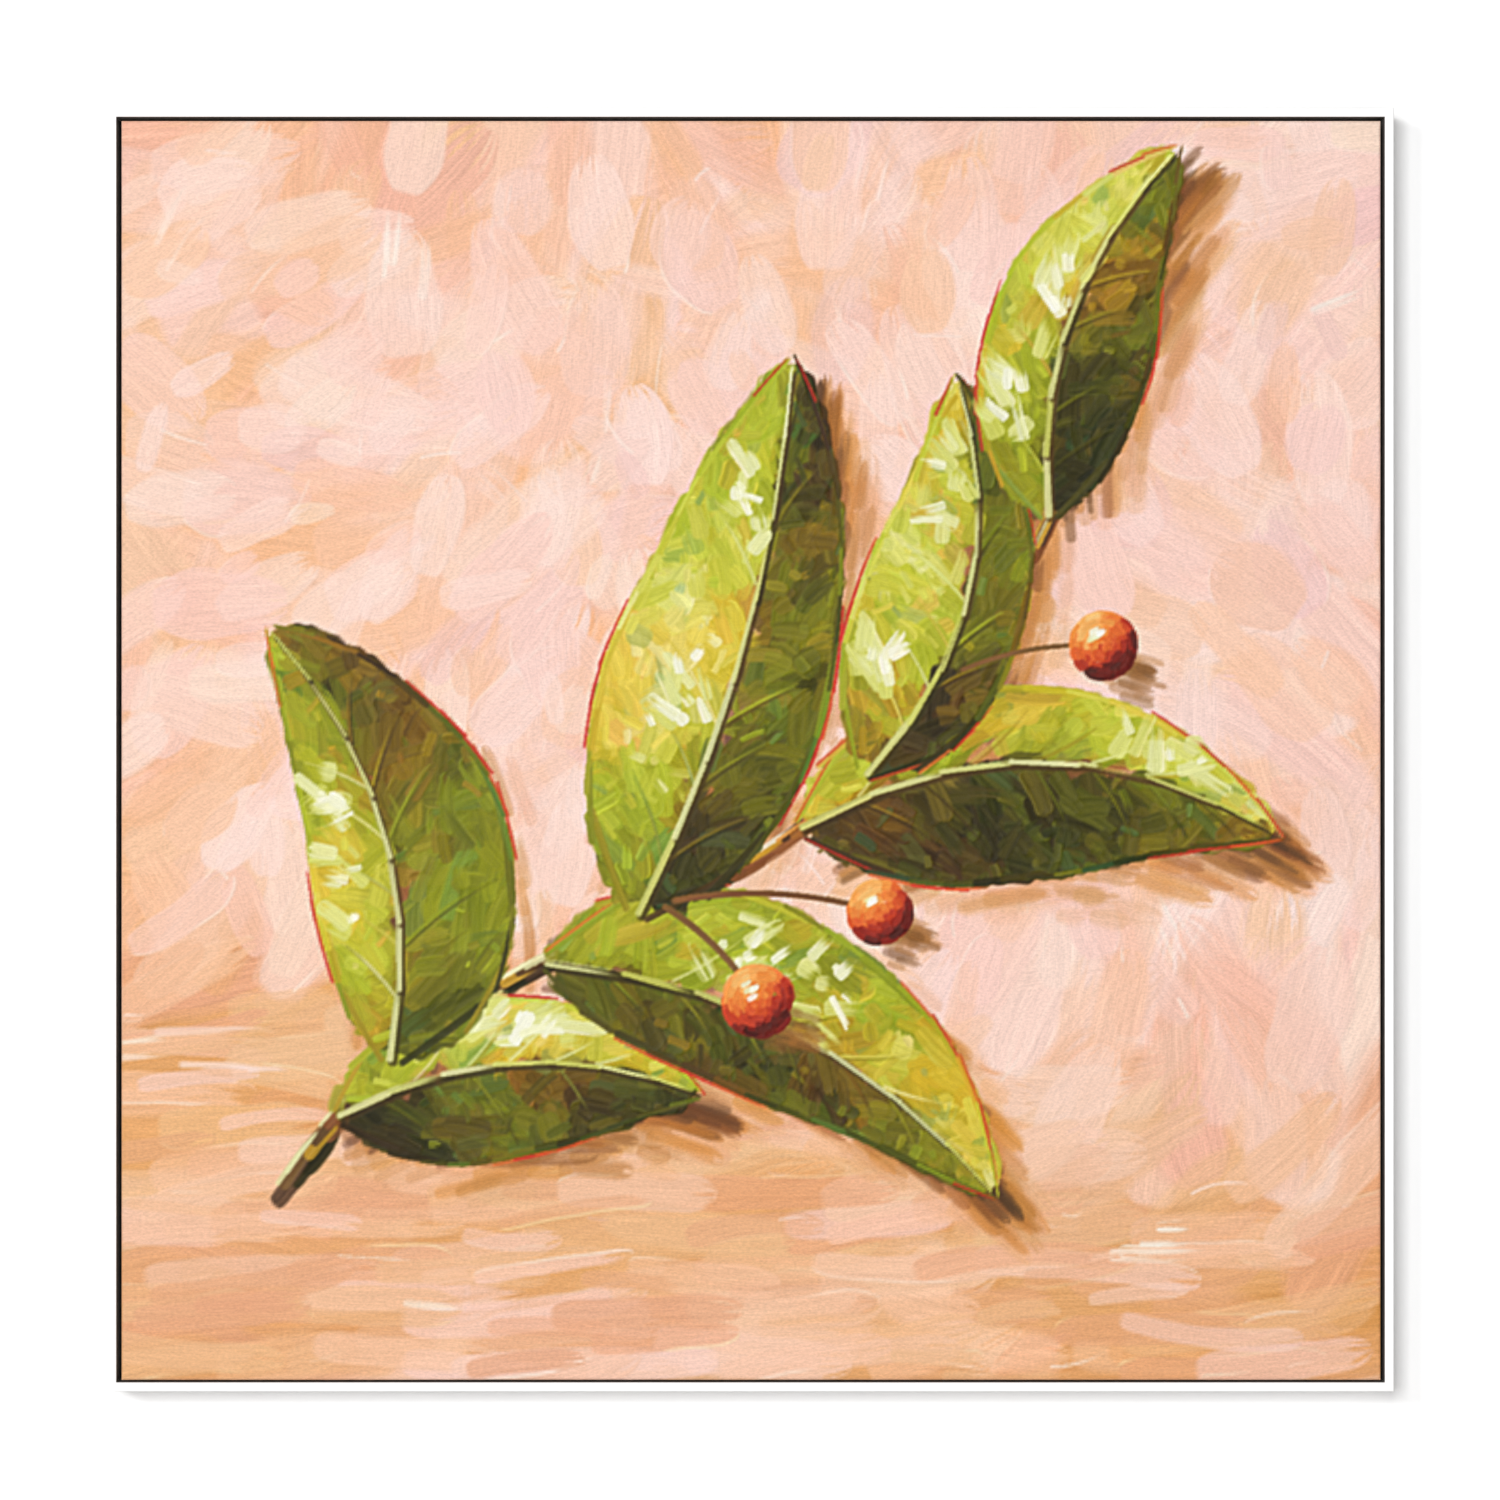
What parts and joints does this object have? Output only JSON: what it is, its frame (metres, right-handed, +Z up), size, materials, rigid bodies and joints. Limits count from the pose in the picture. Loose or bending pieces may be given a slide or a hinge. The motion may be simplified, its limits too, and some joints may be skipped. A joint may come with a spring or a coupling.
{
  "type": "framed canvas picture",
  "caption": "Square painted canvas on a keyed pine stretcher, set in a slim white floater frame and hung from two sawtooth hangers on its back.",
  "frame": {"origin": "on the back face of the top rail, midway between the two hangers; the plane Y = 0 is the back of the frame", "axes": "+X to the right as a viewer faces the painted side, +Y out of the back towards the wall, +Z up; the painted side faces -Y"},
  "size_m": [0.9338, 0.0507, 0.9317],
  "materials": {
    "white_lacquer": "white satin lacquer, black inside the gap",
    "bare_pine": "planed, unfinished",
    "primed_canvas": "plain-weave cotton, primed white on the front, bare behind",
    "oil_paint": "brushed oil paint, satin",
    "zinc_steel": "zinc plated",
    "brassed_steel": "brass plated",
    "grey_felt": "pressed felt"
  },
  "bodies": {
    "root": {"rail_top": "white_lacquer", "rail_right": "white_lacquer", "rail_bottom": "white_lacquer", "rail_left": "white_lacquer", "stretcher_top": "bare_pine", "stretcher_right": "bare_pine", "stretcher_bottom": "bare_pine", "stretcher_left": "bare_pine", "key_top_a": "bare_pine", "key_top_b": "bare_pine", "key_right_a": "bare_pine", "key_right_b": "bare_pine", "key_bottom_a": "bare_pine", "key_bottom_b": "bare_pine", "key_left_a": "bare_pine", "key_left_b": "bare_pine", "brace_level": "bare_pine", "brace_upright": "bare_pine", "canvas_cloth": "primed_canvas", "paint_film": "oil_paint", "screw_top_1": "zinc_steel", "screw_top_2": "zinc_steel", "screw_right_1": "zinc_steel", "screw_right_2": "zinc_steel", "screw_bottom_1": "zinc_steel", "screw_bottom_2": "zinc_steel", "screw_left_1": "zinc_steel", "screw_left_2": "zinc_steel", "hanger_left": "brassed_steel", "hanger_right": "brassed_steel", "nail_left_1": "brassed_steel", "nail_left_2": "brassed_steel", "nail_right_1": "brassed_steel", "nail_right_2": "brassed_steel", "bumper_left": "grey_felt", "bumper_right": "grey_felt"}
  },
  "joints": []
}
